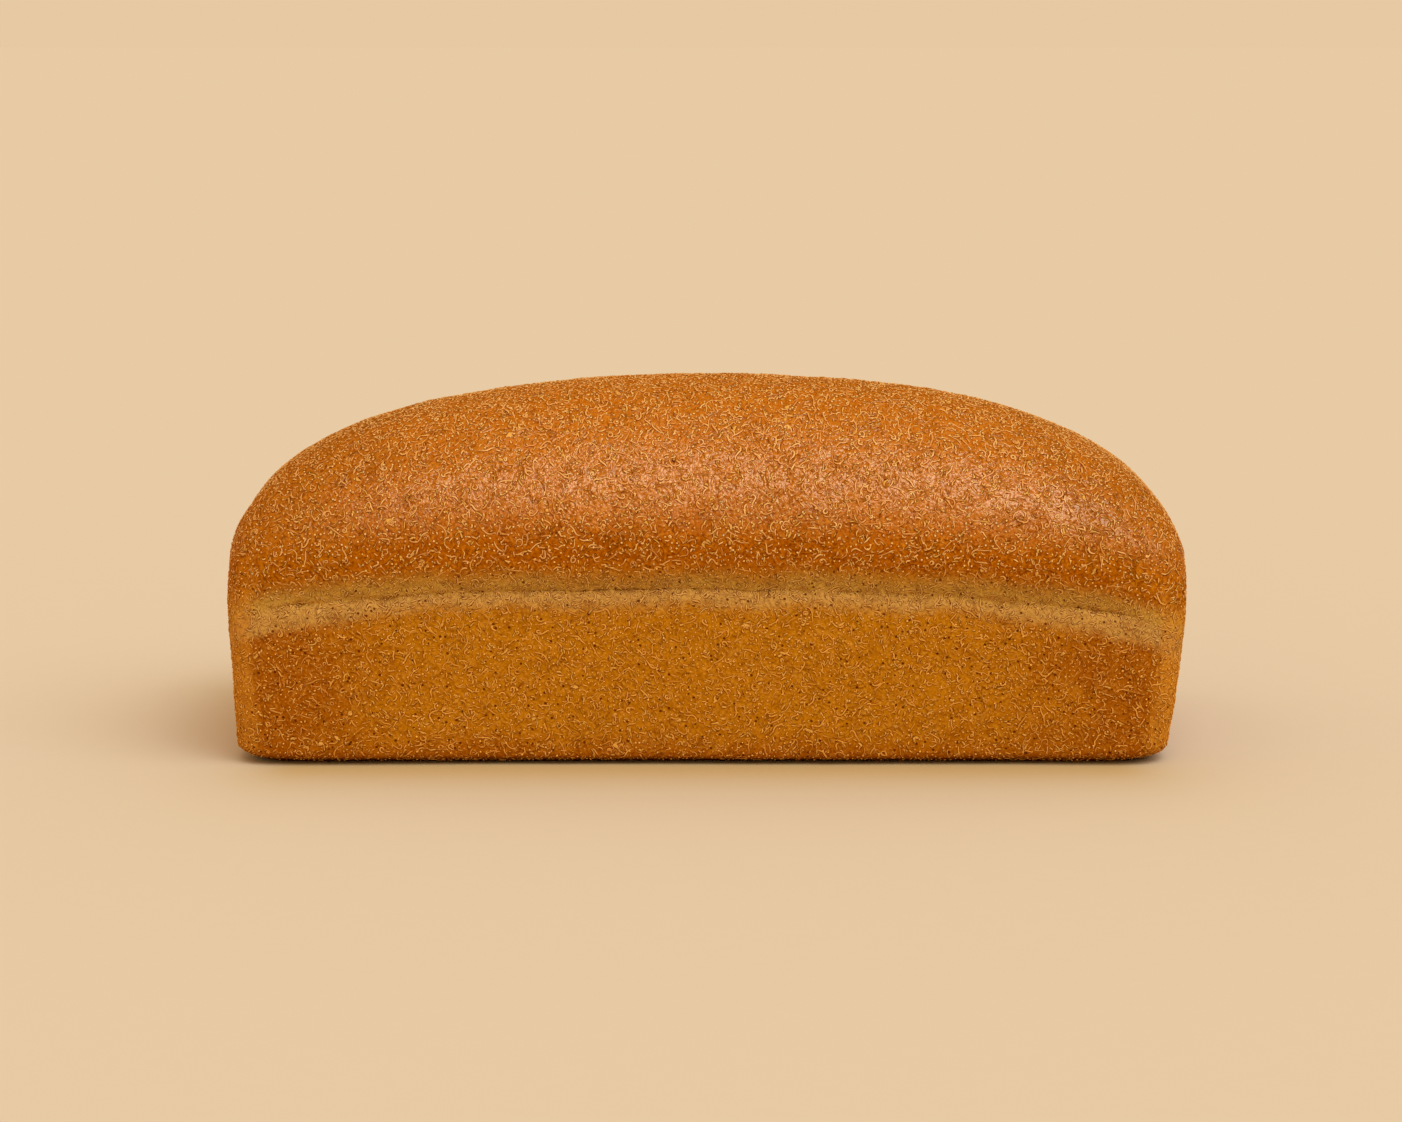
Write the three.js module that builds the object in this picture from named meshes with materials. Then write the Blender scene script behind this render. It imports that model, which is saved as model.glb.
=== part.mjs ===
// A wholemeal tin loaf: one solid of bread, baked in an open tin.
// Its lower part took the tin's shape, with leaning walls and round corners. Above the tin's rim the dough
// rose free into a long crown, and along both sides it tore away from the rim in a shallow crease.
//
// Millimetres. X runs along the loaf, Y across it, and Z up from the flat base, whose middle is the origin.

import * as THREE from "three";

const { clamp, lerp, smoothstep } = THREE.MathUtils;

// The driving dimensions.
const LOAF_LENGTH = 268.8;
const LOAF_WIDTH = 116;
const LOAF_HEIGHT = 102.8;
const RIM_HEIGHT = 50; // the loaf is longest and widest here, where the crown leaves the tin's walls
const RIM_SOFTNESS = 3; // how much of their thickness the walls and the crown share as they flow together

// The tin's walls lean out from the base to the rim by these distances.
const LEFT_END_LEAN = 3.8;
const RIGHT_END_LEAN = 6;
const SIDE_LEAN = 4;
const WAIST = 1.8; // how far the long walls have sunk in at mid length

// The round edge between the base and the walls.
const BASE_ROLL_AT_WAIST = 3;
const BASE_ROLL_AT_CORNERS = 6;

// The crease runs along both sides, sinks towards the ends and fades out at the corners.
const CREASE_HEIGHT = 49.3;
const CREASE_SINK_LEFT = 4.7;
const CREASE_SINK_RIGHT = 8.7;
const CREASE_DROP_ROUND_CORNER = 14;
const CREASE_DEPTH = 2.6;
const LIP_HEIGHT = 4.5; // the wall rolls in to the crease over this height
const UNDERSIDE_HEIGHT = 12; // and the crown swells out again over this height

// The crown's outline, seen from the front or from an end, is a superellipse of this power.
const CROWN_POWER = 2.28;
const SHOULDER_ANGLE = (50 * Math.PI) / 180; // the turn of the crown at which its top begins

// How square the loaf is, seen from above, along X and across Y: the powers of a superellipse.
const TIN_SQUARENESS = [24, 10];
const TOP_SQUARENESS = [2.2, 2.2];
const ROUNDING_FOOT = 33; // from this height up the corners open,
const ROUNDING_POWER = 1.9; // slowly at first

// Slow swells that make the crown uneven: their height, and their turns in a metre along X and across Y.
const SWELLS = [
  { height: 0.3, alongX: 9, acrossY: 5, start: 1.1 },
  { height: 0.2, alongX: -17, acrossY: 12, start: 2.6 },
  { height: 0.15, alongX: 31, acrossY: 19, start: 0.4 },
];

// The grid that is shaped into the loaf: columns along X, rows across Y, and levels up each band of a side.
const COLUMNS = 46;
const ROWS = 20;
const CROWDING = { columns: 0.8, rows: 0.7 }; // how much closer together they are towards the corners
const LEVELS = { roll: 3, wall: 4, lip: 3, underside: 5, crown: 7 };
const SIDE_LEVELS = Object.values(LEVELS).reduce((sum, count) => sum + count);

const CRUST_COLOUR = 0xb5691c;

// How far out the rim of a superellipse lies in the direction (u, v), a point on the edge of the unit square.
function reachToRim(u, v, [powerX, powerY]) {
  let reach = 1;
  for (let pass = 0; pass < 8; pass += 1) {
    const fromX = Math.abs(reach * u) ** powerX;
    const fromY = Math.abs(reach * v) ** powerY;
    reach *= 1 - (fromX + fromY - 1) / (powerX * fromX + powerY * fromY);
  }
  return reach;
}

// How far up from a foot to the top of the loaf a height is: 0 at the foot and below it, and 1 on top.
function climbFrom(foot, height) {
  return clamp((height - foot) / (LOAF_HEIGHT - foot), 0, 1);
}

// How square the loaf is at a height. The powers are mixed by their reciprocals, so that corners open evenly.
function squarenessAt(height) {
  const share = climbFrom(ROUNDING_FOOT, height) ** ROUNDING_POWER;
  return TIN_SQUARENESS.map((power, axis) => 1 / lerp(1 / power, 1 / TOP_SQUARENESS[axis], share));
}

// What changes round the loaf, in the direction (u, v). The way round is 0 at the middle of a long side,
// 1 at a corner and 2 at the middle of an end.
function factsRound(u, v) {
  const wayRound = Math.abs(v) >= Math.abs(u) ? Math.abs(u) : 2 - Math.abs(v);
  const alongSide = Math.min(wayRound, 1);
  const sink = u < 0 ? CREASE_SINK_LEFT : CREASE_SINK_RIGHT;
  const drop = CREASE_DROP_ROUND_CORNER * smoothstep(wayRound, 0.8, 1.5);
  return {
    lean: [u < 0 ? LEFT_END_LEAN : RIGHT_END_LEAN, SIDE_LEAN],
    waist: WAIST * (1 - alongSide ** 2),
    roll: lerp(BASE_ROLL_AT_WAIST, BASE_ROLL_AT_CORNERS, alongSide ** 3),
    creaseHeight: CREASE_HEIGHT - sink * alongSide ** 2.4 - drop,
    creaseDepth: CREASE_DEPTH * (1 - smoothstep(wayRound, 0.84, 0.98)),
  };
}

// How far a side is set in at a height, by the roll at its foot and by the crease, and how far it is waisted.
function insetAt(height, facts) {
  const { roll, creaseHeight, creaseDepth, waist } = facts;
  const aboveCrease = height - creaseHeight;
  const rollInset = height < roll ? roll - Math.sqrt(roll ** 2 - (roll - height) ** 2) : 0;
  if (aboveCrease < 0) {
    const intoLip = Math.max(aboveCrease / LIP_HEIGHT + 1, 0);
    return { all: rollInset + creaseDepth * intoLip ** 2, across: waist };
  }
  const upUnderside = Math.min(aboveCrease / UNDERSIDE_HEIGHT, 1);
  const tuck = 1 - Math.sin((Math.PI / 2) * upUnderside);
  return { all: creaseDepth * tuck, across: waist * tuck };
}

// The smaller of two numbers, rounded off where they are close.
function softMinimum(a, b, softness) {
  const overlap = Math.max(softness - Math.abs(a - b), 0) / softness;
  return Math.min(a, b) - (overlap ** 2 * softness) / 4;
}

// Half the length and half the width at a height, before anything is set in. The leaning walls and the crown
// are each carried past the rim, and the loaf follows whichever is narrower.
function outlineAt(height, lean) {
  const climb = climbFrom(RIM_HEIGHT, height);
  const share = (1 - climb ** CROWN_POWER) ** (1 / CROWN_POWER);
  return [LOAF_LENGTH / 2, LOAF_WIDTH / 2].map((half, axis) => {
    const wall = half - lean[axis] * (1 - height / RIM_HEIGHT);
    return softMinimum(wall, half * share, RIM_SOFTNESS);
  });
}

// The height of the crown where its superellipse has turned by an angle: none at the rim, a right one on top.
function crownHeightAt(angle) {
  return RIM_HEIGHT + (LOAF_HEIGHT - RIM_HEIGHT) * Math.sin(angle) ** (2 / CROWN_POWER);
}

// The heights of a side's levels. The roll turns in equal steps, and the levels are close at the crease.
function levelHeight(index, { roll, creaseHeight }) {
  const bandEnds = {
    wall: [roll, creaseHeight - LIP_HEIGHT],
    lip: [creaseHeight - LIP_HEIGHT, creaseHeight],
    underside: [creaseHeight, creaseHeight + UNDERSIDE_HEIGHT],
    crown: [creaseHeight + UNDERSIDE_HEIGHT, crownHeightAt(SHOULDER_ANGLE)],
  };
  if (index <= LEVELS.roll) {
    return roll * (1 - Math.cos((Math.PI / 2) * (index / LEVELS.roll)));
  }
  let step = index - LEVELS.roll;
  for (const [band, [foot, top]] of Object.entries(bandEnds)) {
    if (step <= LEVELS[band]) {
      return lerp(foot, top, step / LEVELS[band]);
    }
    step -= LEVELS[band];
  }
  return crownHeightAt(SHOULDER_ANGLE);
}

function swellAt(x, y, height) {
  const turnsPerMillimetre = (Math.PI * 2) / 1000;
  let rise = 0;
  for (const swell of SWELLS) {
    const turn = turnsPerMillimetre * (swell.alongX * x + swell.acrossY * y) + swell.start;
    rise += swell.height * Math.sin(turn);
  }
  return rise * smoothstep(height, RIM_HEIGHT, LOAF_HEIGHT);
}

// Moves a place between -1 and 1 towards the nearer end.
function crowd(place, crowding) {
  const quarterTurn = Math.PI / 2;
  return Math.sin(place * quarterTurn * crowding) / Math.sin(quarterTurn * crowding);
}

// Where a point on the skin of the cube from -1 to 1 lies on the loaf.
function loafPoint(column, row, w) {
  const u = crowd(column, CROWDING.columns);
  const v = crowd(row, CROWDING.rows);
  const ring = Math.max(Math.abs(u), Math.abs(v));
  const isTop = w === 1 && ring < 1;
  if (isTop && ring === 0) {
    return [0, 0, LOAF_HEIGHT + swellAt(0, 0, LOAF_HEIGHT)];
  }
  if (ring === 0) {
    return [0, 0, 0];
  }
  const direction = [u / ring, v / ring];
  const facts = factsRound(...direction);
  const level = Math.round(((w + 1) / 2) * SIDE_LEVELS);
  const turnOnTop = lerp(Math.PI / 2, SHOULDER_ANGLE, ring);
  const height = isTop ? crownHeightAt(turnOnTop) : levelHeight(level, facts);
  const outline = outlineAt(height, facts.lean);
  const inset = insetAt(height, facts);
  const reach = reachToRim(...direction, squarenessAt(height)) * (w === -1 ? ring : 1);
  const x = (outline[0] - inset.all) * direction[0] * reach;
  const y = (outline[1] - inset.all - inset.across) * direction[1] * reach;
  return [x, y, height + swellAt(x, y, height)];
}

function loafGeometry() {
  const geometry = new THREE.BoxGeometry(2, 2, 2, COLUMNS, ROWS, SIDE_LEVELS);
  const position = geometry.getAttribute("position");
  for (let i = 0; i < position.count; i += 1) {
    const point = loafPoint(position.getX(i), position.getY(i), position.getZ(i));
    position.setXYZ(i, ...point);
  }
  geometry.deleteAttribute("uv");
  geometry.computeVertexNormals();
  return geometry;
}

const crust = new THREE.MeshStandardMaterial({
  name: "crust",
  color: CRUST_COLOUR,
  roughness: 0.6,
  metalness: 0,
});

const loaf = new THREE.Mesh(loafGeometry(), crust);
loaf.name = "loaf";

const tinLoaf = new THREE.Group();
tinLoaf.add(loaf);

export default tinLoaf;
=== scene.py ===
# %% [markdown]
# # A wholemeal tin loaf
# This lesson dresses a plain solid of a loaf of bread. The solid already has the right size and place, so it
# is loaded first and never changed. Everything that is made after it stays inside its box.

import math

import bmesh
import bpy
import numpy as np
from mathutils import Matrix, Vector, noise
from mathutils.bvhtree import BVHTree


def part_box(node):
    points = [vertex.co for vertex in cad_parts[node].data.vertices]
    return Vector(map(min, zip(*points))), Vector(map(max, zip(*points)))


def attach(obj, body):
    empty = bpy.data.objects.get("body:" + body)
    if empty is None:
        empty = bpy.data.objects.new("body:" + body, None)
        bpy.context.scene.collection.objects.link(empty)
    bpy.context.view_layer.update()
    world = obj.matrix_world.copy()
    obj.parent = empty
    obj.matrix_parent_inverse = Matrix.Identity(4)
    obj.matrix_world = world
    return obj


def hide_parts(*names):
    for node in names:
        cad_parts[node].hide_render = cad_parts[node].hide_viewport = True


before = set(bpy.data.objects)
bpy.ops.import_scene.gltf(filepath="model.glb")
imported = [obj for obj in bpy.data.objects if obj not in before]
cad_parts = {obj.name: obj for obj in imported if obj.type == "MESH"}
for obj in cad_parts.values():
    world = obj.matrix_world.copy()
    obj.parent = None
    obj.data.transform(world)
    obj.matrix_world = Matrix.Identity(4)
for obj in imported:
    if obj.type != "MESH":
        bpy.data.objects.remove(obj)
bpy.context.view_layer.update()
MM = 0.001  # Blender counts in metres, and a baker in millimetres
solid_low, solid_high = (np.array(corner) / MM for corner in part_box("loaf"))
print("the solid loaf measures", np.round(solid_high - solid_low, 1), "mm")

# %% [markdown]
# ## The camera
# A loaf looks long and calm when the camera stands back, a little above the table, with a long lens. The
# camera is placed on a ray from the point it looks at, so the loaf stays in the middle when its angle
# changes.

# %% The camera
CAMERA_RISE = math.radians(9)
CAMERA_DISTANCE = 0.9595  # metres
CAMERA_TARGET = Vector((-0.0015, 0, 0.0489))
LENS = 85
SENSOR_WIDTH = 36

camera = bpy.data.objects.new("camera", bpy.data.cameras.new("camera"))
camera.data.lens = LENS
camera.data.sensor_width = SENSOR_WIDTH
away = Vector((0, -math.cos(CAMERA_RISE), math.sin(CAMERA_RISE)))
camera.location = CAMERA_TARGET + CAMERA_DISTANCE * away
camera.rotation_euler = (math.pi / 2 - CAMERA_RISE, 0, 0)
bpy.context.scene.collection.objects.link(camera)
bpy.context.scene.camera = camera
print("the camera stands", round(camera.location.z, 3), "m above the floor")

# %% [markdown]
# ## Sums in materials
# A material's pattern is arithmetic on textures. Wiring each addition by hand hides the idea, so one small
# class stands for an output socket and turns Python's own operators into Math nodes.


# %% Wires and paints
class Wire:
    """An output socket that can be used in sums, such as 1 - wire or wire * 0.5."""

    def __init__(self, paint, socket):
        self.paint = paint
        self.socket = socket

    def __add__(self, other):
        return self.paint.maths("ADD", self, other)

    def __sub__(self, other):
        return self.paint.maths("SUBTRACT", self, other)

    def __rsub__(self, other):
        return self.paint.maths("SUBTRACT", other, self)

    def __mul__(self, other):
        return self.paint.maths("MULTIPLY", self, other)

    def __truediv__(self, other):
        return self.paint.maths("DIVIDE", self, other)

    def __rtruediv__(self, other):
        return self.paint.maths("DIVIDE", other, self)

    def __abs__(self):
        return self.paint.maths("ABSOLUTE", self)

    __radd__ = __add__
    __rmul__ = __mul__


class Paint:
    """The nodes of a material, or of the world round it."""

    def __init__(self, owner):
        self.owner = owner
        owner.use_nodes = True
        self.tree = owner.node_tree
        self.tree.nodes.clear()

    def node(self, kind, settings=None, values=None, output=0):
        """Adds a node, sets it, fills or links its inputs, and returns one of its outputs as a wire."""
        node = self.tree.nodes.new(kind)
        for name, value in (settings or {}).items():
            setattr(node, name, value)
        for key, value in (values or {}).items():
            if isinstance(value, Wire):
                self.tree.links.new(value.socket, node.inputs[key])
            else:
                node.inputs[key].default_value = value
        return Wire(self, node.outputs[output]) if node.outputs else None

    def maths(self, operation, first, second=0.0):
        return self.node("ShaderNodeMath", {"operation": operation}, {0: first, 1: second})

    def rise(self, value, low, high):
        """0 where the value is below low, 1 where it is above high, and a soft step between."""
        settings = {"interpolation_type": "SMOOTHSTEP"}
        return self.node("ShaderNodeMapRange", settings, {0: value, 1: low, 2: high})

    def mix(self, share, first, second):
        """Two colours mixed. A Mix node has its colours at inputs 6 and 7, and their mix at output 2."""
        return self.node("ShaderNodeMix", {"data_type": "RGBA"}, {0: share, 6: first, 7: second}, output=2)

    def vectors(self, operation, first, second):
        """Vector Math on two vectors, each part by itself."""
        return self.node("ShaderNodeVectorMath", {"operation": operation}, {0: first, 1: second})

    def part(self, vector, axis):
        """One part of a vector: 0 for X, 1 for Y and 2 for Z."""
        return self.node("ShaderNodeSeparateXYZ", {}, {0: vector}, output=axis)

    def place(self):
        """Where each point of the surface is, in metres."""
        return self.node("ShaderNodeTexCoord", output="Object")

    def stored(self, name):
        """A number that is stored at each point of the mesh."""
        return self.node("ShaderNodeAttribute", {"attribute_name": name}, output="Fac")

    def noise(self, place, size, detail=2.0, distortion=0.0):
        """Smooth noise from 0 to 1 round 0.5, whose lumps are about this many millimetres apart."""
        values = {"Vector": place, "Scale": 1 / (size * MM), "Detail": detail, "Distortion": distortion}
        return self.node("ShaderNodeTexNoise", {}, values)

    def cover(self, shader):
        """Makes a shader the material's surface."""
        self.node("ShaderNodeOutputMaterial", {}, {"Surface": shader})


def colour(hex_code):
    """A colour as it is written for the web, as the linear numbers that Blender reckons with."""
    parts = [int(hex_code[i : i + 2], 16) / 255 for i in (1, 3, 5)]
    return [p / 12.92 if p <= 0.04045 else ((p + 0.055) / 1.055) ** 2.4 for p in parts] + [1.0]


print("amber is", [round(part, 3) for part in colour("#FFBF00")[:3]], "in linear numbers")

# %% [markdown]
# ## The table and the air
# A plain beige sheet lies under the loaf and runs on without an edge. The background that the camera sees has
# the sheet's own colour, so no horizon shows. The sky that lights the bread is warm, and hardly shows in
# gloss, or it would lay a veil over the crown.
#
# Before the loaf, round its foot, the sheet is painted a darker warm brown: a painted contact shadow with the
# crust's bounced brown in it, which the lamps alone show too weakly.

# %% The sheet
SHEET_COLOUR = colour("#DDD0C3")
SHEET_SHADE = 0.985  # how bright its darkest fibres are, beside its lightest
SHEET_HALF = 60  # metres, far enough to meet the background at the horizon
FIBRE_SIZE = 6
# Painted contact shadow: the colour and reach of the darker warm brown painted on the sheet round the loaf's
# foot.
CONTACT_SHADE_COLOUR = colour("#CBAC6D")
CONTACT_SHADE_SET_IN = (22, 8)  # millimetres inside the loaf's ends and sides, where the glow begins to fade
CONTACT_SHADE_REACH = (12, 20)  # how far on it has faded by half, along the loaf and across it
CONTACT_SHADE_BEFORE = (25, 65)  # it comes in between these distances before the loaf's middle line

sheet_mesh = bmesh.new()
bmesh.ops.create_grid(sheet_mesh, x_segments=4, y_segments=4, size=SHEET_HALF)
sheet = bpy.data.objects.new("table_sheet", bpy.data.meshes.new("table_sheet"))
sheet_mesh.to_mesh(sheet.data)
sheet_mesh.free()
bpy.context.scene.collection.objects.link(sheet)


def finish_sheet():
    paint = Paint(bpy.data.materials.new("beige sheet"))
    place = paint.place()
    fibre = paint.noise(place, FIBRE_SIZE, detail=4)
    plain = paint.mix(fibre, [part * SHEET_SHADE for part in SHEET_COLOUR], SHEET_COLOUR)

    spread = 1
    for axis, half in enumerate((solid_high - solid_low)[:2] / 2):
        past_edge = abs(paint.part(place, axis)) / MM - (half - CONTACT_SHADE_SET_IN[axis])
        beyond = paint.maths("MAXIMUM", past_edge, 0) / CONTACT_SHADE_REACH[axis]
        spread = spread + beyond * beyond
    # Painted contact shadow: the sheet darkens to that brown before the loaf, fading past its ends and sides.
    contact_shade = paint.rise(0 - paint.part(place, 1) / MM, *CONTACT_SHADE_BEFORE) / spread
    tinted = paint.mix(contact_shade, plain, CONTACT_SHADE_COLOUR)
    shader = {"Base Color": tinted, "Roughness": 1.0, "Specular IOR Level": 0.0}
    paint.cover(paint.node("ShaderNodeBsdfPrincipled", {}, shader))
    return paint.owner


sheet.data.materials.append(finish_sheet())
print("the sheet is", 2 * SHEET_HALF, "m wide")

# %% The background and the sky
BACKGROUND_COLOUR = colour("#E7C9A3")
SKY_COLOUR = colour("#FFDDA6")
SKY_STRENGTH = 0.8
SKY_IN_GLOSS = 0.01

air = Paint(bpy.data.worlds.new("studio air"))
seen_by_camera = air.node("ShaderNodeLightPath", output="Is Camera Ray")
seen_in_gloss = air.node("ShaderNodeLightPath", output="Is Glossy Ray")
sky_strength = SKY_STRENGTH - seen_in_gloss * (SKY_STRENGTH - SKY_IN_GLOSS)
sky = air.node("ShaderNodeBackground", {}, {"Color": SKY_COLOUR, "Strength": sky_strength})
background = air.node("ShaderNodeBackground", {}, {"Color": BACKGROUND_COLOUR, "Strength": 1.0})
both_airs = air.node("ShaderNodeMixShader", {}, {0: seen_by_camera, 1: sky, 2: background})
air.node("ShaderNodeOutputWorld", {}, {"Surface": both_airs})
bpy.context.scene.world = air.owner
bpy.context.scene.view_settings.view_transform = "Standard"
print("the sky lights the loaf at strength", SKY_STRENGTH)

# %% [markdown]
# ## The lamps
# The gloss on a crown shows the shape of the lamp above it. A long soft box above the front and to the right
# is made of two wide suns side by side: a sun lights a sheet evenly, which a lamp close by wouldn't. Their
# light is a little cool, to balance the warm sky.

# %% The soft box
LAMP_COLOUR = colour("#EBFBFF")
LAMPS = [
    # in degrees: the turn from the camera towards the right, the rise above the table and the width
    {"azimuth": 17, "rise": 57, "width": 42, "strength": 0.67},
    {"azimuth": 55, "rise": 49, "width": 46, "strength": 0.875},
]

for number, lamp in enumerate(LAMPS):
    light = bpy.data.lights.new(f"soft box {number}", "SUN")
    light.angle = math.radians(lamp["width"])
    light.energy = lamp["strength"]
    light.color = LAMP_COLOUR[:3]
    holder = bpy.data.objects.new(f"soft box {number}", light)
    holder.rotation_euler = (math.radians(90 - lamp["rise"]), 0, math.radians(lamp["azimuth"]))
    bpy.context.scene.collection.objects.link(holder)
print(len(LAMPS), "lamps make the soft box")

# %% [markdown]
# ## The shape of the loaf
# The crust could be sculpted by hand, or carved out of the solid. Here it starts as a cube whose faces are
# cut into a fine grid, and each point is moved by a rule to its place on the loaf. The rule is the baker's
# own: tin walls below the rim, a free crown above it, and a crease where the two tore apart. A rule can be
# made as fine as the finish needs, and it puts the grid's rows along the crease, where the bread has its
# sharpest lines.

# %% Sizes of the loaf, in millimetres
LENGTH, WIDTH, HEIGHT = 268.8, 116.0, 102.8
RIM_HEIGHT = 50.0  # the loaf is longest and widest here, where the crown leaves the tin's walls
RIM_SOFTNESS = 3.0  # how much of their thickness the walls and the crown share as they flow together
LEFT_LEAN, RIGHT_LEAN, SIDE_LEAN = 3.8, 6.0, 4.0  # how far the walls lean out from the base to the rim
WAIST = 1.8  # how far the long walls have sunk in at mid length
ROLL_AT_WAIST, ROLL_AT_CORNERS = 2.6, 4.2  # the height of the round edge at the base
BASE_OVERHANG, BASE_POWER = 6.5, 1.3  # the base stands in under the wall, with a line of shade below it
CREASE_HEIGHT = 49.3
CREASE_SINK_LEFT, CREASE_SINK_RIGHT = 4.7, 8.7  # how much lower the crease is at the corners
CREASE_DROP = 14.0  # and how much lower still round the corners, on the end walls
CREASE_DEPTH = 2.0
LIP_HEIGHT = 4.5  # the wall rolls in to the crease over this height
UNDERSIDE_HEIGHT = 12.0  # and the crown swells out again over this height
CROWN_POWER = 2.28  # the crown's outline is a superellipse of this power
SHOULDER_TURN = math.radians(50)  # the turn of the crown at which its top begins
TIN_SQUARENESS, TOP_SQUARENESS = (24, 10), (2.2, 2.2)  # superellipse powers, seen from above
ROUNDING_FOOT, ROUNDING_POWER = 33.0, 1.9  # from this height up the corners open, slowly at first

# The grid: columns, rows and levels, with the levels shared out from the base up.
COLUMNS, ROWS = 220, 88
CROWDING = {"columns": 0.6, "rows": 0.5}
LEVELS = {"roll": 6, "wall": 26, "lip": 9, "underside": 15, "crown": 28}
SIDE_LEVELS = sum(LEVELS.values())
TINY = 1e-6
print("the sides have", SIDE_LEVELS, "levels")

# %% Cutting the cube into a grid
block = bmesh.new()
bmesh.ops.create_cube(block, size=2)
for axis, pieces in enumerate((COLUMNS, ROWS, SIDE_LEVELS)):
    along = [e for e in block.edges if abs(e.verts[0].co[axis] - e.verts[1].co[axis]) > 1]
    bmesh.ops.subdivide_edges(block, edges=along, cuts=pieces - 1, use_grid_fill=True)
crust_mesh = bpy.data.meshes.new("crust")
block.to_mesh(crust_mesh)
block.free()
places = np.empty(len(crust_mesh.vertices) * 3)
crust_mesh.vertices.foreach_get("co", places)
places = places.reshape(-1, 3)
print("the block has", len(crust_mesh.polygons), "faces")

# %% The rule, step by step
NEWTON_STEPS = 8


def rise_between(value, low, high):
    """A soft step from 0 to 1."""
    share = np.clip((value - low) / (high - low), 0, 1)
    return share * share * (3 - 2 * share)


def crowd(place, crowding):
    """Moves places between -1 and 1 towards the nearer end."""
    quarter = math.pi / 2 * crowding
    return np.sin(place * quarter) / math.sin(quarter)


def climb_from(foot, height):
    """How far up a height is, from 0 at the foot to 1 on top of the loaf."""
    return np.clip((height - foot) / (HEIGHT - foot), 0, 1)


def reach_to_rim(u, v, power_x, power_y):
    """How far out the rim of a superellipse lies in the direction (u, v), found by Newton's method."""
    reach = np.ones_like(u)
    for _ in range(NEWTON_STEPS):
        from_x = np.abs(reach * u) ** power_x
        from_y = np.abs(reach * v) ** power_y
        reach *= 1 - (from_x + from_y - 1) / (power_x * from_x + power_y * from_y)
    return reach


def soft_minimum(a, b, softness):
    """The smaller of two numbers, rounded off where they are close."""
    overlap = np.maximum(softness - np.abs(a - b), 0) / softness
    return np.minimum(a, b) - overlap**2 * softness / 4


def crown_height_at(turn):
    """The height of the crown where its superellipse has turned by an angle."""
    return RIM_HEIGHT + (HEIGHT - RIM_HEIGHT) * np.sin(turn) ** (2 / CROWN_POWER)


print("the shoulder lies at", round(float(crown_height_at(SHOULDER_TURN)), 1), "mm")


# %% Waves of dough
def wavy(points, size, seed):
    """Smooth noise about -0.5 to 0.5 at these points, with lumps of this many millimetres."""
    shift = Vector((seed * 17.3, seed * -9.1, seed * 5.7))
    return np.array([noise.noise(Vector(point) / size + shift) for point in points])


def layered(points, layers, base=0.0):
    """Waves on top of each other. Each layer is a height, the size of its lumps, and a seed."""
    total = np.full(len(points), base)
    for height, size, seed in layers:
        total = total + height * wavy(points, size, seed)
    return total


print("a place and a seed always give the same noise:", round(float(wavy([(20, 0, 0)], 30, 1)[0]), 3))

# %% [markdown]
# ## The crease
# When the crown rises faster than the sides, the skin tears along the tin's rim. The tear isn't a straight
# groove: it wanders up and down by half a millimetre, opens and closes, and sinks towards the ends of the
# loaf.

# %% Where the crease runs
WANDER = [(0.9, 30, 1), (0.45, 5, 2)]
OPENING = [(1.5, 11, 3), (0.8, 2.5, 4)]

column = crowd(places[:, 0], CROWDING["columns"])
row = crowd(places[:, 1], CROWDING["rows"])
ring = np.maximum(np.abs(column), np.abs(row))  # 0 in the middle of the top and the base, and 1 on the sides
safe_ring = np.maximum(ring, TINY)
u, v = column / safe_ring, row / safe_ring
middle = ring < TINY
u[middle], v[middle] = 1.0, 0.0
way_round = np.where(np.abs(v) >= np.abs(u), np.abs(u), 2 - np.abs(v))  # mid side 0, corner 1, mid end 2
along_side = np.minimum(way_round, 1)
on_rim = np.stack([u * LENGTH / 2, v * WIDTH / 2, np.zeros_like(u)], 1)

sink = np.where(u < 0, CREASE_SINK_LEFT, CREASE_SINK_RIGHT) * along_side**2.4
drop = CREASE_DROP * rise_between(way_round, 0.8, 1.5)
crease_height = CREASE_HEIGHT - sink - drop + layered(on_rim, WANDER)
fading = 1 - rise_between(way_round, 0.84, 0.98)
opening = np.clip(layered(on_rim, OPENING, base=0.5), 0, 1)
opening *= 0.7 + 0.6 * rise_between(along_side, 0.45, 0.8)  # it opens wider towards the corners
print("the crease runs between", round(crease_height.min(), 1), "and", round(crease_height.max(), 1), "mm")

# %% The height of every point
roll = ROLL_AT_WAIST + (ROLL_AT_CORNERS - ROLL_AT_WAIST) * along_side**3
level = (places[:, 2] + 1) / 2 * SIDE_LEVELS
lip_foot = crease_height - LIP_HEIGHT
underside_top = crease_height + UNDERSIDE_HEIGHT
bands = [
    # a band's name, its lower and upper heights, and how its levels crowd: above 1 towards its foot
    ("wall", roll, lip_foot, 1.0),
    ("lip", lip_foot, crease_height, 0.6),
    ("underside", crease_height, underside_top, 1.5),
    ("crown", underside_top, crown_height_at(SHOULDER_TURN), 1.0),
]
height = roll * (1 - np.cos(math.pi / 2 * np.clip(level / LEVELS["roll"], 0, 1)))
foot_level = LEVELS["roll"]
for name, foot, top, crowding in bands:
    share = np.clip((level - foot_level) / LEVELS[name], 0, 1) ** crowding
    height = np.where(level > foot_level, foot + (top - foot) * share, height)
    foot_level += LEVELS[name]
on_top = (places[:, 2] > 1 - TINY) & (ring < 1 - TINY)
turn = math.pi / 2 + (SHOULDER_TURN - math.pi / 2) * ring
height = np.where(on_top, crown_height_at(turn), height)
above_crease = height - crease_height
print("the highest point is at", round(height.max(), 1), "mm")

# %% The place of every point
CRACK_DEPTH, CRACK_HALF_HEIGHT = 0.5, 0.45  # the torn line inside the crease

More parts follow.
